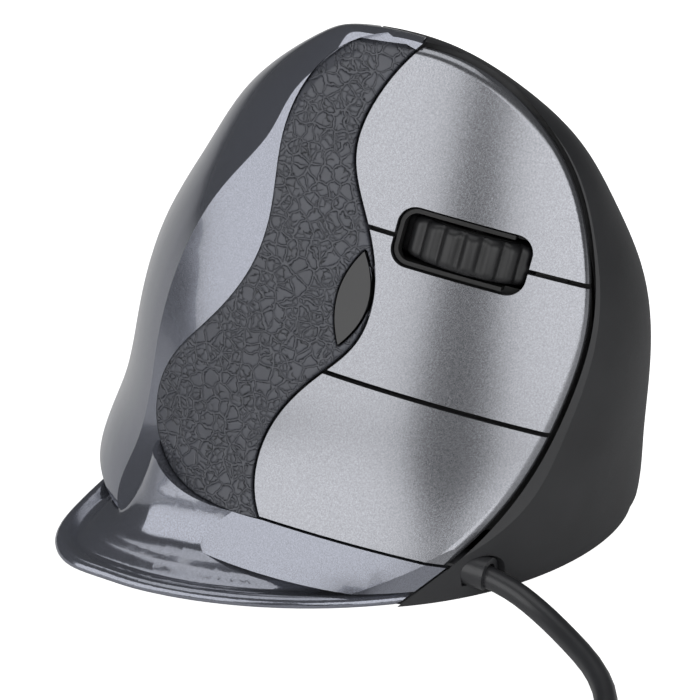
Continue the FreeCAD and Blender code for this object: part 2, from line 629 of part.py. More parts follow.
def electronics():
    level = size("main_board_level")
    half_x, half_y = size("main_board_wide") / 2, size("main_board_long") / 2
    spot = Vector(-13.0, 1.0, level)
    sketched_plate("main_board", half_x, half_y, "board_thick", Placement(spot, Rotation()),
                   (0.0, 1.0, 2.6))
    top = level + size("board_thick")
    sketched_plate("sensor_chip", 5.0, 6.0, 2.4, Placement(Vector(-13.0, 2.0, top), Rotation()))
    sketched_plate("controller_chip", 3.5, 3.5, 1.0, Placement(Vector(-20.0, 15.0, top), Rotation()))
    sketched_plate("cable_header", 3.0, 5.0, 4.2, Placement(Vector(-5.0, 17.5, top), Rotation()))
    cans = [Part.makeCylinder(2.0, 5.0, Vector(-24.0, -14.0, top)),
            Part.makeCylinder(2.0, 5.0, Vector(-18.5, -16.0, top)),
            Part.makeBox(4.5, 10.0, 3.2, Vector(-10.0, -20.0, top))]
    add_shape("board_parts", Part.makeCompound(cans))
    lens = Part.makeCylinder(4.0, 1.8, Vector(-13.0, 2.0, 0.9))
    lens = lens.fuse(Part.makeCylinder(2.4, level + 1.0 - 2.7, Vector(-13.0, 2.0, 2.7)))
    add_shape("sensor_lens", lens)
    sketched_plate("thumb_board", 7.0, 15.0, 1.2,
                   Placement(Vector(THUMB_BOARD_FACE, 9.5, 50.5), Rotation(Vector(0, 1, 0), 90)))


def flat_ribbon():
    """Flat flex between the two boards."""
    top = size("main_board_level") + size("board_thick")
    end = (FACE * Placement(Vector(-6.0, -20.0, -size("board_level") - size("board_thick")),
                            Rotation())).Base
    start = Vector(-1.5, 2.0, top)
    end.y = start.y
    middle = Vector((start.x + end.x) / 2 - 5.0, start.y, top + 3.0)
    curve = Part.BSplineCurve()
    curve.interpolate([start, middle, end])
    lower = curve.toShape()
    thick = Vector(-0.3, 0, 0)
    upper = lower.translated(thick)
    ends = [Part.makeLine(spot, spot + thick) for spot in (start, end)]
    outline = Part.Wire(Part.__sortEdges__([lower, upper] + ends))
    return add_shape("flat_ribbon", Part.Face(outline).extrude(Vector(0, 9.0, 0)))


# ---------------------------------------------------------------- thumb side
def thumb_keys():
    shell = grip_form(-0.4).cut(grip_form(1.7))
    inside = grip_form(0.5)
    for label, start in THUMB_KEYS:
        middle = Vector(0, start + THUMB_KEY_LONG / 2, THUMB_KEY_LOW + THUMB_KEY_TALL / 2)
        key = shell.common(key_outline(start))
        tip = THUMB_BOARD_FACE - size("key_tall") - size("plunger_tall") - size("touch_gap")
        stem = cylinder_at(1.2, Vector(-40.0, middle.y, middle.z), Vector(tip, middle.y, middle.z))
        add_shape(label, key.fuse(stem.common(inside)))
        place = Placement(Vector(THUMB_BOARD_FACE, middle.y, middle.z), Rotation(Vector(0, 1, 0), -90))
        key_switch(label.replace("button_", ""), place)


# ---------------------------------------------------------------- fasteners and feet
def case_screws():
    low = size("shell_foot")
    screws = []
    for x, y in CASE_SCREWS:
        head = Part.makeCylinder(size("screw_head"), 1.0, Vector(x, y, low + 0.1))
        slot = Part.makeBox(3.0, 0.6, 0.5, Vector(x - 1.5, y - 0.3, low + 0.1))
        cross = Part.makeBox(0.6, 3.0, 0.5, Vector(x - 0.3, y - 1.5, low + 0.1))
        shank = Part.makeCylinder(size("screw_radius"), size("screw_long"), Vector(x, y, low + 1.1))
        screws.append(head.cut(slot).cut(cross).fuse(shank))
    add_shape("case_screws", Part.makeCompound(screws))


def board_screws():
    top = size("main_board_level") + size("board_thick")
    heads = []
    for x, y in [(-26.0, -20.0), (-26.0, 22.0), (0.0, -20.0), (0.0, 22.0)]:
        head = Part.makeCylinder(1.5, 0.9, Vector(x, y, top))
        heads.append(head.cut(Part.makeBox(2.2, 0.5, 0.5, Vector(x - 1.1, y - 0.25, top + 0.5))))
    add_shape("board_screws", Part.makeCompound(heads))


def glides():
    thick = size("glide_thick")
    feet = []
    for x, y, half_long, half_wide, angle in [(-4.0, 34.0, 10.0, 2.6, 0.0), (27.0, -17.0, 9.0, 2.6, 72.0),
                                              (-10.0, -32.0, 10.0, 2.6, 8.0), (-33.5, -4.0, 8.0, 1.8, 90.0)]:
        foot = Part.Face(rounded_outline(half_long, half_wide, half_wide - 0.1))
        foot = foot.extrude(Vector(0, 0, thick))
        foot.Placement = Placement(Vector(x, y, 0.0), Rotation(Vector(0, 0, 1), angle))
        feet.append(foot)
    add_shape("glides", Part.makeCompound(feet))


# ---------------------------------------------------------------- cord
def smooth_route(points):
    """Straight runs joined by tangent arcs."""
    vectors = [Vector(*p) for p in points]
    edges = []
    start = vectors[0]
    for before, corner, after in zip(vectors, vectors[1:], vectors[2:]):
        into, away = corner - before, after - corner
        reach = 0.45 * min(into.Length, away.Length)
        first = corner - into.normalize() * reach
        last = corner + away.normalize() * reach
        half_turn = into.getAngle(away) / 2
        radius = reach / math.tan(half_turn)
        print("cord bend radius %.1f" % radius)
        inward = (first + last) * 0.5 - corner
        top = corner + inward.normalize() * (radius / math.cos(half_turn) - radius)
        edges.append(Part.makeLine(start, first))
        edges.append(Part.Arc(first, top, last).toShape())
        start = last
    edges.append(Part.makeLine(start, vectors[-1]))
    return Part.Wire(edges)


def cord_tube(label, points):
    route = smooth_route(points)
    start = Vector(*points[0])
    ring = Part.Wire(Part.makeCircle(size("cord_radius"), start, Vector(*points[1]) - start))
    tube = route.makePipeShell([ring], True, True)
    expected = math.pi * size("cord_radius") ** 2 * route.Length
    print("%s length %.1f volume ratio %.4f" % (label, route.Length, tube.Volume / expected))
    add_shape(label, tube)


def cord_gland():
    x, _, z = CORD_ROUTE[0]
    start, end = Vector(x, 26.0, z), Vector(x + 0.2, 34.6, z)
    sleeve = cylinder_at(2.6, start, end)
    flange = cylinder_at(3.2, Vector(x, 24.6, z), Vector(x, 26.4, z))
    shape = sleeve.fuse(flange).common(slab(2.65, 20.0))
    shape = shape.cut(cylinder_at(size("cord_radius"), Vector(x, 20.0, z), Vector(x + 0.2, 40.0, z)))
    add_shape("cord_gland", shape)


def coil_and_tie():
    cx, cy = COIL_CENTRE
    bundle = size("bundle_radius")
    centre = Vector(cx, cy, bundle)
    add_shape("cord_coil", Part.makeTorus(size("coil_radius"), bundle, centre))
    side = Vector(cx - size("coil_radius"), cy - 3.5, bundle)
    strap = Part.makeCylinder(bundle + 0.9, 7.0, side, Vector(0, 1, 0))
    strap = strap.cut(Part.makeTorus(size("coil_radius"), bundle, centre)).common(slab(0.3, 60.0))
    inner = Part.makeCylinder(bundle - 1.0, 9.0, side - Vector(0, 1, 0), Vector(0, 1, 0))
    add_shape("coil_tie", strap.cut(inner))


def usb_plug():
    """The plug, drawn along -Y from its strain relief and placed at the end of the lead."""
    place = Placement(Vector(*LEAD_ROUTE[-1]), Rotation(Vector(0, 0, 1), PLUG_TURN))
    relief = cylinder_at(2.6, Vector(0, 0, 0), Vector(0, -10.0, 0))
    grip = Part.makeBox(15.0, 19.0, 8.0, Vector(-7.5, -29.0, -4.0))
    sides = [edge for edge in grip.Edges if abs(edge.Length - 19.0) < 0.01]
    grip = grip.makeFillet(2.4, sides)
    add_shape("plug_grip", relief.fuse(grip), place)
    shell = Part.makeBox(12.0, 12.0, 4.5, Vector(-6.0, -41.0, -2.25))
    shell = shell.cut(Part.makeBox(11.4, 12.0, 3.9, Vector(-5.7, -41.0, -1.95)))
    for side in (-2.6, 2.6):
        shell = shell.cut(Part.makeBox(2.2, 2.4, 9.0, Vector(side - 1.1, -36.4, -4.5)))
    add_shape("plug_shell", shell, place)
    add_shape("plug_tongue", Part.makeBox(11.4, 11.4, 1.9, Vector(-5.7, -40.4, -1.95)), place)
    pads = [Part.makeBox(1.2, 8.0, 0.2, Vector(-0.6 + step * 2.4, -39.5, -0.05))
            for step in (-1.5, -0.5, 0.5, 1.5)]
    add_shape("plug_contacts", Part.makeCompound(pads), place)


# ---------------------------------------------------------------- assembly
def build():
    palm_shell()
    thumb_shell()
    base_plate()
    grip_inlay()
    sheet_shape = rolled_slab()
    finger_button("index", sheet_shape, INDEX_SEAM, 60.0, INDEX_SWITCH)
    finger_button("middle", sheet_shape, RING_SEAM, INDEX_SEAM, MIDDLE_SWITCH)
    finger_button("ring", sheet_shape, -60.0, RING_SEAM, RING_SWITCH)
    mode_button()
    button_deck()
    scroll_tyre()
    scroll_hub()
    wheel_axle()
    wheel_carrier()
    wheel_encoder()
    button_board()
    micro_switch("index", INDEX_SWITCH)
    micro_switch("middle", MIDDLE_SWITCH)
    micro_switch("ring", RING_SWITCH)
    key_switch("mode", FACE * turned(LENS_CENTRE, -size("board_level")))
    key_switch("wheel", FACE * turned(wheel_key_spot(), -size("board_level")))
    electronics()
    flat_ribbon()
    thumb_keys()
    case_screws()
    board_screws()
    glides()
    cord_gland()
    cord_tube("cord", CORD_ROUTE)
    cord_tube("cord_lead", LEAD_ROUTE)
    coil_and_tie()
    usb_plug()


def export_nodes():
    os.makedirs("parts", exist_ok=True)
    doc.recompute()
    for node in doc.Objects:
        if "Invalid" in node.State or "Error" in node.State:
            raise RuntimeError("bad object " + node.Label)
        is_body = node.TypeId == "PartDesign::Body"
        if node.InList or not (is_body or node.TypeId.startswith("Part::")):
            continue
        shape = node.Shape
        if shape.isNull() or not shape.isValid() or not shape.Solids:
            raise RuntimeError("bad shape " + node.Label)
        print("%-20s solids %d volume %.1f" % (node.Label, len(shape.Solids), shape.Volume))
        shape.exportStep("parts/%s.step" % node.Label)


build()
export_nodes()
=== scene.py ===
import math

import bpy
import bmesh
from mathutils import Matrix, Vector


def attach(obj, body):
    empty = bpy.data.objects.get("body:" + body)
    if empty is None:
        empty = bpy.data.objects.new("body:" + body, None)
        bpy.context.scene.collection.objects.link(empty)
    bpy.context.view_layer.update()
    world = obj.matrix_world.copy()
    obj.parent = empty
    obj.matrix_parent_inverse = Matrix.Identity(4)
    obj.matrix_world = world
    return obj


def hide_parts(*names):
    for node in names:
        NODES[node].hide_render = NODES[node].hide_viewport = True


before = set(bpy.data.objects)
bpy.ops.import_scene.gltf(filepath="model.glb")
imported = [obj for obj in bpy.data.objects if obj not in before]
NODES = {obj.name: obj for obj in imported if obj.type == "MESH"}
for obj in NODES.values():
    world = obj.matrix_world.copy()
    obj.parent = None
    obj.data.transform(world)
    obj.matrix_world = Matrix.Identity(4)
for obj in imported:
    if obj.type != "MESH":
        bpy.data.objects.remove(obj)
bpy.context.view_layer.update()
MM = 0.001


# ---------------------------------------------------------------- small helpers
def mm(*xyz):
    return Vector(xyz) * MM


def link(obj):
    bpy.context.scene.collection.objects.link(obj)
    return obj


def shade(mesh, slot, sharp_degrees=None):
    """Give a mesh one material and smooth shading, with edges sharper than an angle kept crisp."""
    mesh.materials.clear()
    mesh.materials.append(MATERIALS[slot])
    mesh.polygons.foreach_set("use_smooth", [True] * len(mesh.polygons))
    if sharp_degrees is not None:
        mesh.set_sharp_from_angle(angle=math.radians(sharp_degrees))


# ---------------------------------------------------------------- camera
CAM_AZ, CAM_EL, CAM_DIST, CAM_LENS = 120.0, 30.0, 0.450, 150.0
CAM_TARGET = mm(-1.3, 2.5, 27.2)


def back_vector(az, el):
    a, e = math.radians(az), math.radians(el)
    return Vector((math.sin(a) * math.cos(e), -math.cos(a) * math.cos(e), math.sin(e)))


def make_camera():
    data = bpy.data.cameras.new("camera")
    data.lens = CAM_LENS
    data.sensor_width = 36.0
    data.clip_start, data.clip_end = 0.01, 20.0
    cam = link(bpy.data.objects.new("camera", data))
    back = back_vector(CAM_AZ, CAM_EL)
    cam.location = CAM_TARGET + back * CAM_DIST
    cam.rotation_mode = "QUATERNION"
    cam.rotation_quaternion = (-back).to_track_quat("-Z", "Y")
    bpy.context.scene.camera = cam


make_camera()


# ---------------------------------------------------------------- materials
class Paint:
    """A principled material under construction: nodes are added and wired by short calls."""

    def __init__(self, name, metallic=0.0, **sockets):
        self.mat = bpy.data.materials.new(name)
        self.mat.use_nodes = True
        self.tree = self.mat.node_tree
        self.bsdf = self.tree.nodes["Principled BSDF"]
        self.bsdf.inputs["Metallic"].default_value = metallic
        for key, value in sockets.items():
            self.bsdf.inputs[key.replace("_", " ")].default_value = value
        self.coord = self.tree.nodes.new("ShaderNodeTexCoord")

    def add(self, kind, **values):
        node = self.tree.nodes.new(kind)
        for key, value in values.items():
            if key in node.inputs:
                node.inputs[key].default_value = value
            else:
                setattr(node, key, value)
        return node

    def wire(self, source, output, target, socket):
        self.tree.links.new(source.outputs[output], target.inputs[socket])

    def noise(self, scale, detail=3.0, roughness=0.5):
        node = self.add("ShaderNodeTexNoise", Scale=scale, Detail=detail, Roughness=roughness)
        self.wire(self.coord, "Object", node, "Vector")
        return node

    def ramp(self, source, output, stops):
        node = self.add("ShaderNodeValToRGB")
        ramp = node.color_ramp
        while len(ramp.elements) < len(stops):
            ramp.elements.new(0.5)
        for element, (place, colour) in zip(ramp.elements, stops):
            element.position = place
            element.color = (*colour, 1.0) if len(colour) == 3 else colour
        self.wire(source, output, node, "Fac")
        return node

    def colour(self, source, output, stops):
        node = self.ramp(source, output, stops)
        self.wire(node, "Color", self.bsdf, "Base Color")
        return node

    def roughness(self, source, output, low, high):
        node = self.add("ShaderNodeMapRange")
        node.inputs["To Min"].default_value = low
        node.inputs["To Max"].default_value = high
        self.wire(source, output, node, "Value")
        self.wire(node, "Result", self.bsdf, "Roughness")

    def bump(self, source, output, strength, distance_mm, after=None):
        node = self.add("ShaderNodeBump", Strength=strength, Distance=distance_mm * MM)
        self.wire(source, output, node, "Height")
        if after is not None:
            self.wire(after, "Normal", node, "Normal")
        self.wire(node, "Normal", self.bsdf, "Normal")
        return node


def grey(value, blue=0.0):
    return (value, value * (1 + blue * 0.2), value * (1 + blue))


def moulded(name, base, rough, grain_mm=0.25, bump_mm=0.012, spread=0.18, **sockets):
    """Moulded plastic or rubber: mottled tone, uneven gloss and a fine grain."""
    paint = Paint(name, **sockets)
    broad = paint.noise(90.0, 2.0)
    low = tuple(c * (1 - spread) for c in base)
    high = tuple(min(1.0, c * (1 + spread)) for c in base)
    paint.colour(broad, "Fac", [(0.3, low), (0.7, high)])
    grain = paint.noise(1.0 / (grain_mm * MM), 2.0)
    paint.roughness(grain, "Fac", rough - 0.06, rough + 0.06)
    paint.bump(grain, "Fac", 0.5, bump_mm)
    return paint.mat


def gloss_shell_paint():
    """Dark metallic paint under a clear coat."""
    paint = Paint("gloss_shell", metallic=0.75, Coat_Weight=1.0, Coat_Roughness=0.03)
    flake = paint.noise(5200.0, 1.0)
    paint.colour(flake, "Fac", [(0.35, grey(0.20, 0.22)), (0.68, grey(0.27, 0.25))])
    paint.roughness(flake, "Fac", 0.12, 0.20)
    return paint.mat


def silver_paint():
    """Satin silver paint: fine metallic grain that sparkles a little."""
    paint = Paint("silver_paint", metallic=0.85, Coat_Weight=0.15, Coat_Roughness=0.25)
    grain = paint.noise(4200.0, 2.0, 0.65)
    paint.colour(grain, "Fac", [(0.3, grey(0.24, 0.10)), (0.7, grey(0.36, 0.10))])
    paint.roughness(grain, "Fac", 0.17, 0.28)
    paint.bump(grain, "Fac", 0.3, 0.006)
    return paint.mat


def brushed(name, base, rough):
    paint = Paint(name, metallic=1.0)
    streak = paint.noise(900.0, 4.0)
    paint.colour(streak, "Fac", [(0.3, tuple(c * 0.8 for c in base)), (0.7, base)])
    paint.roughness(streak, "Fac", rough - 0.08, rough + 0.1)
    paint.bump(streak, "Fac", 0.2, 0.004)
    return paint.mat


def board_paint():
    """Green solder mask with fainter copper tracks under it."""
    paint = Paint("board_green", Coat_Weight=0.4, Coat_Roughness=0.2)
    cells = paint.add("ShaderNodeTexBrick", Scale=420.0)
    paint.wire(paint.coord, "Object", cells, "Vector")
    cells.inputs["Color1"].default_value = (0.012, 0.11, 0.035, 1)
    cells.inputs["Color2"].default_value = (0.016, 0.16, 0.05, 1)
    cells.inputs["Mortar"].default_value = (0.03, 0.2, 0.07, 1)
    paint.wire(cells, "Color", paint.bsdf, "Base Color")
    grain = paint.noise(1500.0)
    paint.roughness(grain, "Fac", 0.3, 0.45)
    paint.bump(cells, "Fac", 0.3, 0.02)
    return paint.mat


def glass_paint():
    paint = Paint("clear_lens", Transmission_Weight=1.0, IOR=1.49)
    haze = paint.noise(300.0)
    paint.colour(haze, "Fac", [(0.3, (0.93, 0.95, 0.97)), (0.7, (0.98, 0.98, 0.99))])
    paint.roughness(haze, "Fac", 0.02, 0.08)
    return paint.mat


# The finger face's own axes: along the fingers, up the face, outward.
FACE_TURN, FACE_TILT = math.radians(14.0), math.radians(21.0)
FACE_OUT = Vector((math.cos(FACE_TURN) * math.cos(FACE_TILT),
                   math.sin(FACE_TURN) * math.cos(FACE_TILT), math.sin(FACE_TILT)))
FACE_ALONG = Vector((-math.sin(FACE_TURN), math.cos(FACE_TURN), 0.0))
FACE_UP = FACE_OUT.cross(FACE_ALONG)


class Graph:
    """Short calls for nodes that shader and geometry trees share."""

    def __init__(self, tree):
        self.tree = tree

    def node(self, kind, **values):
        node = self.tree.nodes.new(kind)
        for key, value in values.items():
            setattr(node, key, value)
        return node

    def plug(self, value, socket):
        if isinstance(value, bpy.types.NodeSocket):
            self.tree.links.new(value, socket)
        else:
            socket.default_value = value

    def math(self, operation, first, second=0.0, clamp=False):
        node = self.node("ShaderNodeMath", operation=operation, use_clamp=clamp)
        self.plug(first, node.inputs[0])
        self.plug(second, node.inputs[1])
        return node.outputs[0]

    def vector(self, operation, first, second):
        node = self.node("ShaderNodeVectorMath", operation=operation)
        self.plug(first, node.inputs[0])
        self.plug(second, node.inputs[1])
        return node.outputs["Value" if operation == "DOT_PRODUCT" else "Vector"]

    def scaled(self, first, factor):
        node = self.node("ShaderNodeVectorMath", operation="SCALE")
        self.plug(first, node.inputs[0])
        node.inputs["Scale"].default_value = factor
        return node.outputs["Vector"]

    def noise(self, place, scale, detail=2.0):
        node = self.node("ShaderNodeTexNoise")
        self.plug(place, node.inputs["Vector"])
        node.inputs["Scale"].default_value = scale
        node.inputs["Detail"].default_value = detail
        return node

    def step(self, value, low, high):
        node = self.node("ShaderNodeMapRange", interpolation_type="SMOOTHSTEP")
        self.plug(value, node.inputs["Value"])
        node.inputs["From Min"].default_value = low
        node.inputs["From Max"].default_value = high
        return node.outputs["Result"]


PEBBLE = 2.1 * MM
PEBBLE_RISE = 0.20 * MM


def pebble_height(graph, place):
    """Raised islands of pebbled leather on the finger face, 0 in the channels and 1 on top."""
    flat = graph.node("ShaderNodeCombineXYZ")
    graph.plug(graph.vector("DOT_PRODUCT", place, FACE_ALONG), flat.inputs["X"])
    graph.plug(graph.vector("DOT_PRODUCT", place, FACE_UP), flat.inputs["Y"])
    flat = flat.outputs["Vector"]
    wobble = graph.noise(flat, 1.0 / (0.9 * PEBBLE), 3.0).outputs["Color"]
    wobble = graph.vector("SUBTRACT", wobble, (0.5, 0.5, 0.5))
    bent = graph.vector("ADD", flat, graph.scaled(wobble, 0.9 * PEBBLE))
    heights = []
    for scale, low, high in ((1.0, 0.05, 0.11), (1.8, 0.03, 0.09)):
        cells = graph.node("ShaderNodeTexVoronoi", voronoi_dimensions="2D", feature="DISTANCE_TO_EDGE")
        graph.plug(bent, cells.inputs["Vector"])
        cells.inputs["Scale"].default_value = scale / PEBBLE
        heights.append(graph.step(cells.outputs["Distance"], low, high))
    patchy = graph.step(graph.noise(flat, 0.45 / PEBBLE, 1.0).outputs["Fac"], 0.46, 0.54)
    crack = graph.math("MULTIPLY", graph.math("SUBTRACT", 1.0, heights[1]), patchy)
    return graph.math("MULTIPLY", heights[0], graph.math("SUBTRACT", 1.0, crack, clamp=True), clamp=True)


def leather_rubber():
    """Dark rubber, its pebbles outlined by painted shade on their walls and parted by slightly paler
    channels.
    """
    paint = Paint("grip_rubber")
    graph = Graph(paint.tree)
    height = pebble_height(graph, paint.coord.outputs["Object"])
    # Painted shade: a band halfway up each pebble's rise, where its wall stands, is marked to be darkened
    # like the wall's shadow.
    wall_shade = graph.math("MULTIPLY", graph.math("MULTIPLY", height, 4.0), graph.math("SUBTRACT", 1.0, height))
    tone = paint.noise(160.0, 3.0)
    top = paint.ramp(tone, "Fac", [(0.3, grey(0.066, 0.24)), (0.7, grey(0.088, 0.24))])
    mixes = []
    # The second mix paints near-black shade over the pebble walls.
    for factor, colour in ((graph.math("SUBTRACT", 1.0, height), grey(0.085, 0.22)),
                           (graph.math("MULTIPLY", wall_shade, 0.75), grey(0.004, 0.1))):
        mix = graph.node("ShaderNodeMix", data_type="RGBA")
        graph.plug(factor, mix.inputs["Factor"])
        graph.plug(mixes[-1].outputs[2] if mixes else top.outputs["Color"], mix.inputs[6])
        mix.inputs[7].default_value = (*colour, 1.0)
        mixes.append(mix)
    graph.plug(mixes[-1].outputs[2], paint.bsdf.inputs["Base Color"])
    grain = paint.noise(6000.0, 2.0)
    paint.roughness(grain, "Fac", 0.36, 0.50)
    bump = paint.bump(grain, "Fac", 0.3, 0.008)
    edge = paint.add("ShaderNodeBump", Strength=0.8, Distance=0.2 * MM)
    graph.plug(height, edge.inputs["Height"])
    graph.plug(edge.outputs["Normal"], bump.inputs["Normal"])
    return paint.mat


def make_materials():
    return {
        "gloss_shell": gloss_shell_paint(),
        "matte_shell": moulded("matte_shell", grey(0.022, 0.12), 0.5, 0.22, 0.014),
        "grip_rubber": leather_rubber(),
        "silver_paint": silver_paint(),
        "gloss_black": moulded("gloss_black", grey(0.012, 0.1), 0.12, 0.8, 0.0006, Coat_Weight=0.2,
                               Coat_Roughness=0.02),
        "inner_plastic": moulded("inner_plastic", grey(0.012), 0.55, 0.3, 0.015),
        "thumb_key": moulded("thumb_key", grey(0.02, 0.1), 0.25, 0.25, 0.004, Coat_Weight=0.5,
                             Coat_Roughness=0.1),
        "tyre_rubber": moulded("tyre_rubber", grey(0.016, 0.08), 0.42, 0.15, 0.008),
        "steel": brushed("steel", grey(0.62), 0.25),
        "board_green": board_paint(),
        "switch_case": moulded("switch_case", grey(0.03), 0.4, 0.3, 0.01),
        "plunger_white": moulded("plunger_white", (0.72, 0.71, 0.68), 0.4, 0.3, 0.01, spread=0.05),
        "cans": brushed("cans", grey(0.55, 0.02), 0.3),
        "clear_lens": glass_paint(),
        "flex_amber": moulded("flex_amber", (0.45, 0.18, 0.03), 0.3, 0.4, 0.005),
        "glide_white": moulded("glide_white", (0.8, 0.8, 0.79), 0.35, 0.3, 0.01, spread=0.04),
        "cord_jacket": moulded("cord_jacket", grey(0.03, 0.10), 0.34, 0.2, 0.006),
        "tie_black": moulded("tie_black", grey(0.02), 0.45, 0.2, 0.01),
        "gold": brushed("gold", (0.83, 0.62, 0.25), 0.2),
    }


MATERIALS = make_materials()
SLOT_NODES = {
    "gloss_shell": ["palm_shell"],
    "matte_shell": ["thumb_shell", "base_plate"],
    "grip_rubber": ["grip_inlay"],
    "silver_paint": ["index_button", "middle_button", "ring_button"],
    "gloss_black": ["mode_button"],
    "inner_plastic": ["button_deck", "wheel_carrier", "scroll_hub", "wheel_encoder"],
    "thumb_key": ["thumb_button_back", "thumb_button_front"],
    "tyre_rubber": ["scroll_tyre"],
    "steel": ["wheel_axle", "case_screws", "board_screws", "plug_shell"],
    "board_green": ["button_board", "main_board", "thumb_board"],
    "switch_case": ["index_switch", "middle_switch", "ring_switch", "mode_switch", "wheel_switch",
                    "thumb_back_switch", "thumb_front_switch", "sensor_chip", "controller_chip"],
    "plunger_white": ["index_plunger", "middle_plunger", "ring_plunger", "mode_plunger",
                      "wheel_plunger", "thumb_back_plunger", "thumb_front_plunger", "cable_header",
                      "plug_tongue"],
    "cans": ["board_parts"],
    "clear_lens": ["sensor_lens"],
    "flex_amber": ["flat_ribbon"],
    "glide_white": ["glides"],
    "cord_jacket": ["cord", "cord_coil", "cord_lead", "cord_gland", "plug_grip"],
    "tie_black": ["coil_tie"],
    "gold": ["plug_contacts"],
}


def dress_nodes():
    for slot, names in SLOT_NODES.items():
        for name in names:
            shade(NODES[name].data, slot, 32)


dress_nodes()

# ---------------------------------------------------------------- cord
CORD_D = 3.4
CORD_ROUTE = [(12.4, 25.0, 4.6), (12.6, 35.5, 4.6), (14.3, 45.5, 1.75), (25.8, 61.9, 1.75),
              (42.5, 66.2, 1.75), (60.0, 65.8, 1.75), (77.0, 61.0, 1.75)]
LEAD_ROUTE = [(88.0, 63.1, 11.0), (95.6, 62.4, 11.9), (102.9, 59.0, 12.3), (115.5, 51.4, 8.4),
              (117.6, 38.0, 4.5), (114.3, 27.0, 4.5), (109.5, 17.6, 4.5)]
COIL_CENTRE = (88.0, 38.8)
COIL_RADIUS = 17.2
# Rows of turns, bottom to top: places across the bundle in cord diameters, wound in this order.
COIL_ROWS = [(1.5, 0.5, -0.5, -1.5), (-2.0, -1.0, 0.0, 1.0, 2.0), (2.5, 1.5, 0.5, -0.5, -1.5, -2.5),
             (-2.0, -1.0, 0.0, 1.0, 2.0)]
TURN_POINTS = 20
SHIFT_SPAN = (0.42, 0.66)
RISE_SPAN = (0.78, 0.97)
PITCH = 1.02
STRAP_REACH, STRAP_HALF = 16.3, 10.2
STRAP_SPAN = (0.08, 13.2)


def eased(t):
    t = max(0.0, min(1.0, t))
    return t * t * (3 - 2 * t)


def coil_places():
    """Every place a turn takes, in winding order, and whether the next one is in the row above."""
    places = []
    for row, line in enumerate(COIL_ROWS):
        height = CORD_D / 2 + 0.05 + row * CORD_D * PITCH * math.sqrt(3) / 2
        for index, across in enumerate(line):
            last = index == len(line) - 1
            places.append((COIL_RADIUS + across * CORD_D * PITCH, height, last))
    return places


def coil_points():
    """Turns wound clockwise from the far side, each shifting over by one cord's width."""
    places = coil_places()
    points = []
    index = 0
    turn = 0
    while index < len(places) - 1:
        for step in range(TURN_POINTS):
            f = step / TURN_POINTS
            radius, height, last = places[index]
            if f <= SHIFT_SPAN[0]:
                spot = (radius, height)
            elif f <= RISE_SPAN[0]:
                k = eased((f - SHIFT_SPAN[0]) / (SHIFT_SPAN[1] - SHIFT_SPAN[0]))
                nxt = places[index + 1]
                spot = (radius + (nxt[0] - radius) * k, height + (nxt[1] - height) * k)
            else:
                moved = places[index + 1]
                spot = moved[:2]
                if moved[2] and index + 2 < len(places):
                    k = eased((f - RISE_SPAN[0]) / (RISE_SPAN[1] - RISE_SPAN[0]))
                    up = places[index + 2]
                    swell = 0.10 * CORD_D * math.sin(math.pi * k)
                    spot = (moved[0] + (up[0] - moved[0]) * k + math.copysign(swell, up[0] - moved[0]),
                            moved[1] + (up[1] - moved[1]) * k)
            angle = math.pi / 2 - 2 * math.pi * (turn + f)
            points.append((COIL_CENTRE[0] + spot[0] * math.cos(angle),
                           COIL_CENTRE[1] + spot[0] * math.sin(angle), spot[1]))
        moved = places[index + 1]
        index += 2 if moved[2] and index + 2 < len(places) else 1
        turn += 1
    return points


def make_cord():
    points = CORD_ROUTE + coil_points() + LEAD_ROUTE
    data = bpy.data.curves.new("cord_line", "CURVE")
    data.dimensions = "3D"
    data.bevel_depth = CORD_D / 2 * MM
    data.bevel_resolution = 6
    data.resolution_u = 6
    data.use_fill_caps = True
    spline = data.splines.new("NURBS")
    spline.points.add(len(points) - 1)
    for point, place in zip(spline.points, points):
        point.co = (*mm(*place), 1.0)
    spline.order_u = 3
    spline.use_endpoint_u = True
    data.materials.append(MATERIALS["cord_jacket"])
    obj = link(bpy.data.objects.new("cable", data))
    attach(obj, "housing")
    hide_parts("cord", "cord_coil", "cord_lead")
    return obj


def tie_band():
    """The strap round the bundle of turns: a rounded box outline with a small clasp."""
    bm = bmesh.new()
    cx = COIL_CENTRE[0] - STRAP_REACH
    low, high = STRAP_SPAN
    half_x, half_z = STRAP_HALF, (high - low) / 2
    rings = []
    count = 64
    for y, out in ((-2.6, 0.0), (-2.2, 0.45), (2.2, 0.45), (2.6, 0.0), (2.2, -0.55), (-2.2, -0.55)):
        ring = []
        for step in range(count):
            angle = 2 * math.pi * step / count
            c, s = math.cos(angle), math.sin(angle)
            reach = (abs(c) ** 3.2 + abs(s) ** 3.2) ** (-1 / 3.2)
            x = (half_x - 0.5 + out) * reach * c
            z = (half_z - 0.5 + out) * reach * s
            ring.append(bm.verts.new(mm(cx + x, COIL_CENTRE[1] + y, low + half_z + z)))
        rings.append(ring)
    for ring, after in zip(rings, rings[1:] + rings[:1]):
        for step in range(count):
            nxt = (step + 1) % count
            bm.faces.new((ring[step], ring[nxt], after[nxt], after[step]))
    clasp = bmesh.ops.create_cube(bm, size=1.0)["verts"]
    bmesh.ops.transform(bm, verts=clasp, matrix=Matrix.Translation(mm(cx + 2.0, COIL_CENTRE[1], high + 0.3))
                        @ Matrix.Diagonal((5.0 * MM, 6.4 * MM, 1.6 * MM, 1.0)))
    bmesh.ops.recalc_face_normals(bm, faces=bm.faces)
    mesh = bpy.data.meshes.new("strap")
    bm.to_mesh(mesh)
    bm.free()
    shade(mesh, "tie_black", 40)
    obj = link(bpy.data.objects.new("strap", mesh))
    bevel = obj.modifiers.new("edge", "BEVEL")
    bevel.width = 0.25 * MM
    bevel.segments = 2
    bevel.limit_method = "ANGLE"
    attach(obj, "housing")
    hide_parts("coil_tie")
    return obj


cable = make_cord()
strap = tie_band()


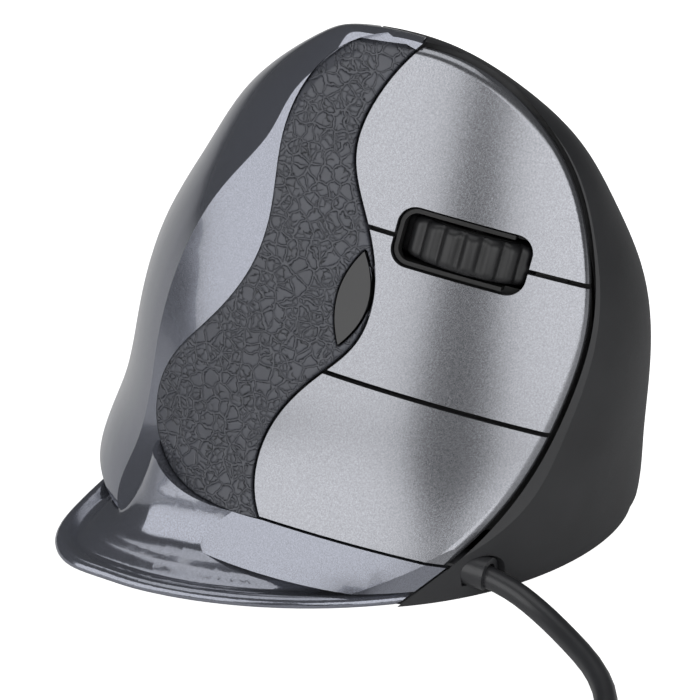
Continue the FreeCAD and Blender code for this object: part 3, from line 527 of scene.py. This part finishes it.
# ---------------------------------------------------------------- grip leather
def pebble_nodes():
    """Geometry nodes that raise the pebbles of the outward side of a mesh."""
    tree = bpy.data.node_groups.new("pebbles", "GeometryNodeTree")
    tree.interface.new_socket("Geometry", in_out="INPUT", socket_type="NodeSocketGeometry")
    tree.interface.new_socket("Geometry", in_out="OUTPUT", socket_type="NodeSocketGeometry")
    graph = Graph(tree)
    start, end = graph.node("NodeGroupInput"), graph.node("NodeGroupOutput")
    place = graph.node("GeometryNodeInputPosition").outputs[0]
    normal = graph.node("GeometryNodeInputNormal").outputs[0]
    outward = graph.step(graph.vector("DOT_PRODUCT", normal, FACE_OUT), 0.72, 0.86)
    rise = graph.math("MULTIPLY", pebble_height(graph, place), outward)
    offset = graph.node("ShaderNodeVectorMath", operation="SCALE")
    offset.inputs[0].default_value = FACE_OUT * PEBBLE_RISE
    graph.plug(rise, offset.inputs["Scale"])
    move = graph.node("GeometryNodeSetPosition")
    graph.plug(start.outputs[0], move.inputs["Geometry"])
    graph.plug(offset.outputs["Vector"], move.inputs["Offset"])
    graph.plug(move.outputs["Geometry"], end.inputs[0])
    return tree


def baked(obj):
    """The object's mesh with its modifiers worked out."""
    mesh = bpy.data.meshes.new_from_object(obj.evaluated_get(bpy.context.evaluated_depsgraph_get()))
    obj.modifiers.clear()
    obj.data = mesh


def make_grip():
    obj = link(bpy.data.objects.new("grip_leather", NODES["grip_inlay"].data.copy()))
    remesh = obj.modifiers.new("even", "REMESH")
    remesh.mode = "VOXEL"
    remesh.voxel_size = 0.22 * MM
    smooth = obj.modifiers.new("soften", "SMOOTH")
    smooth.factor = 0.5
    smooth.iterations = 2
    raised = obj.modifiers.new("raise", "NODES")
    raised.node_group = pebble_nodes()
    baked(obj)
    shade(obj.data, "grip_rubber")
    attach(obj, "housing")
    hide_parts("grip_inlay")


make_grip()


# ---------------------------------------------------------------- scroll tyre
RIBS = 20
RIB_STEPS = 14
GROOVE_DEPTH = 0.85
TYRE_RADIUS, TYRE_BORE, TYRE_HALF = 11.0, 8.63, 3.08
TYRE_ROUND = 1.3
SEAM_TURN = math.radians(-9.2)


def tyre_profile():
    """Half-outline across the tyre: place along the axle, drop below the rim, share of the groove."""
    outline = [(-TYRE_HALF, TYRE_RADIUS - TYRE_BORE, 0.0)]
    for step in range(7):
        turn = math.pi / 2 * step / 6
        inward = TYRE_ROUND * (1 - math.cos(turn))
        outline.append((inward - TYRE_HALF, TYRE_ROUND * (1 - math.sin(turn)), step / 6))
    outline.append((0.0, 0.0, 1.0))
    return outline + [(-place, drop, share) for place, drop, share in reversed(outline[:-1])]


def make_tyre():
    """The ribbed tyre, turned on the wheel's own axis: broad round ribs and narrower grooves."""
    cad = NODES["scroll_tyre"]
    axle = FACE_UP * math.cos(SEAM_TURN) - FACE_ALONG * math.sin(SEAM_TURN)
    side = axle.cross(FACE_OUT)
    corners = [cad.matrix_world @ vertex.co for vertex in cad.data.vertices]
    centre = Vector()
    for direction in (axle, side, FACE_OUT):
        reach = [corner.dot(direction) for corner in corners]
        centre += direction * (min(reach) + max(reach)) / 2
    bm = bmesh.new()
    rings = []
    for step in range(RIBS * RIB_STEPS):
        angle = 2 * math.pi * step / (RIBS * RIB_STEPS)
        groove = (0.5 + 0.5 * math.cos(RIBS * angle)) ** 2.2
        ray = FACE_OUT * math.cos(angle) + side * math.sin(angle)
        ring = []
        for place, drop, share in tyre_profile():
            cut = GROOVE_DEPTH * groove * (0.4 + 0.6 * share) if share > 0.0 else 0.0
            radius = max(TYRE_BORE, TYRE_RADIUS - drop - cut)
            ring.append(bm.verts.new(centre + (ray * radius + axle * place) * MM))
        rings.append(ring)
    for ring, after in zip(rings, rings[1:] + rings[:1]):
        for step in range(len(ring)):
            nxt = (step + 1) % len(ring)
            bm.faces.new((ring[step], ring[nxt], after[nxt], after[step]))
    bmesh.ops.recalc_face_normals(bm, faces=bm.faces)
    mesh = bpy.data.meshes.new("ribbed_tyre")
    bm.to_mesh(mesh)
    bm.free()
    shade(mesh, "tyre_rubber", 50)
    obj = link(bpy.data.objects.new("ribbed_tyre", mesh))
    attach(obj, "scroll_wheel")
    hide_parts("scroll_tyre")


make_tyre()


# ---------------------------------------------------------------- stage and lights
def make_floor():
    bm = bmesh.new()
    bmesh.ops.create_grid(bm, x_segments=2, y_segments=2, size=3.0)
    mesh = bpy.data.meshes.new("floor")
    bm.to_mesh(mesh)
    bm.free()
    floor = link(bpy.data.objects.new("floor", mesh))
    paint = Paint("floor_white")
    tone = paint.noise(3.0, 1.0)
    paint.colour(tone, "Fac", [(0.2, grey(0.86)), (0.8, grey(0.88))])
    paint.bsdf.inputs["Roughness"].default_value = 0.75
    paint.bsdf.inputs["Emission Color"].default_value = (1.0, 1.0, 1.0, 1.0)
    paint.wire(paint.add("ShaderNodeLightPath"), "Is Camera Ray", paint.bsdf, "Emission Strength")
    mesh.materials.append(paint.mat)


def panel(name, azimuth, elevation, distance, wide, tall, power, tint=(1.0, 1.0, 1.0)):
    """A soft box facing the middle of the object; azimuth counts from +X towards +Y."""
    data = bpy.data.lights.new(name, "AREA")
    data.shape = "RECTANGLE"
    data.size, data.size_y = wide, tall
    data.energy = power
    data.color = tint
    lamp = link(bpy.data.objects.new(name, data))
    a, e = math.radians(azimuth), math.radians(elevation)
    away = Vector((math.cos(a) * math.cos(e), math.sin(a) * math.cos(e), math.sin(e)))
    centre = mm(0, 0, 35)
    lamp.location = centre + away * distance
    lamp.rotation_mode = "QUATERNION"
    lamp.rotation_quaternion = (-away).to_track_quat("-Z", "Y")


def make_lights():
    world = bpy.data.worlds.new("studio")
    bpy.context.scene.world = world
    world.use_nodes = True
    sky = world.node_tree.nodes["Background"]
    sky.inputs["Color"].default_value = (0.75, 0.77, 0.80, 1.0)
    sky.inputs["Strength"].default_value = 0.10
    panel("box_left", -16.0, 24.0, 0.9, 1.0, 0.8, 4.4)
    panel("box_right", 58.0, 20.0, 0.9, 0.94, 0.66, 3.6)
    panel("box_top", 200.0, 75.0, 1.0, 0.9, 0.9, 3.0)


make_floor()
make_lights()
bpy.context.scene.view_settings.view_transform = "Standard"
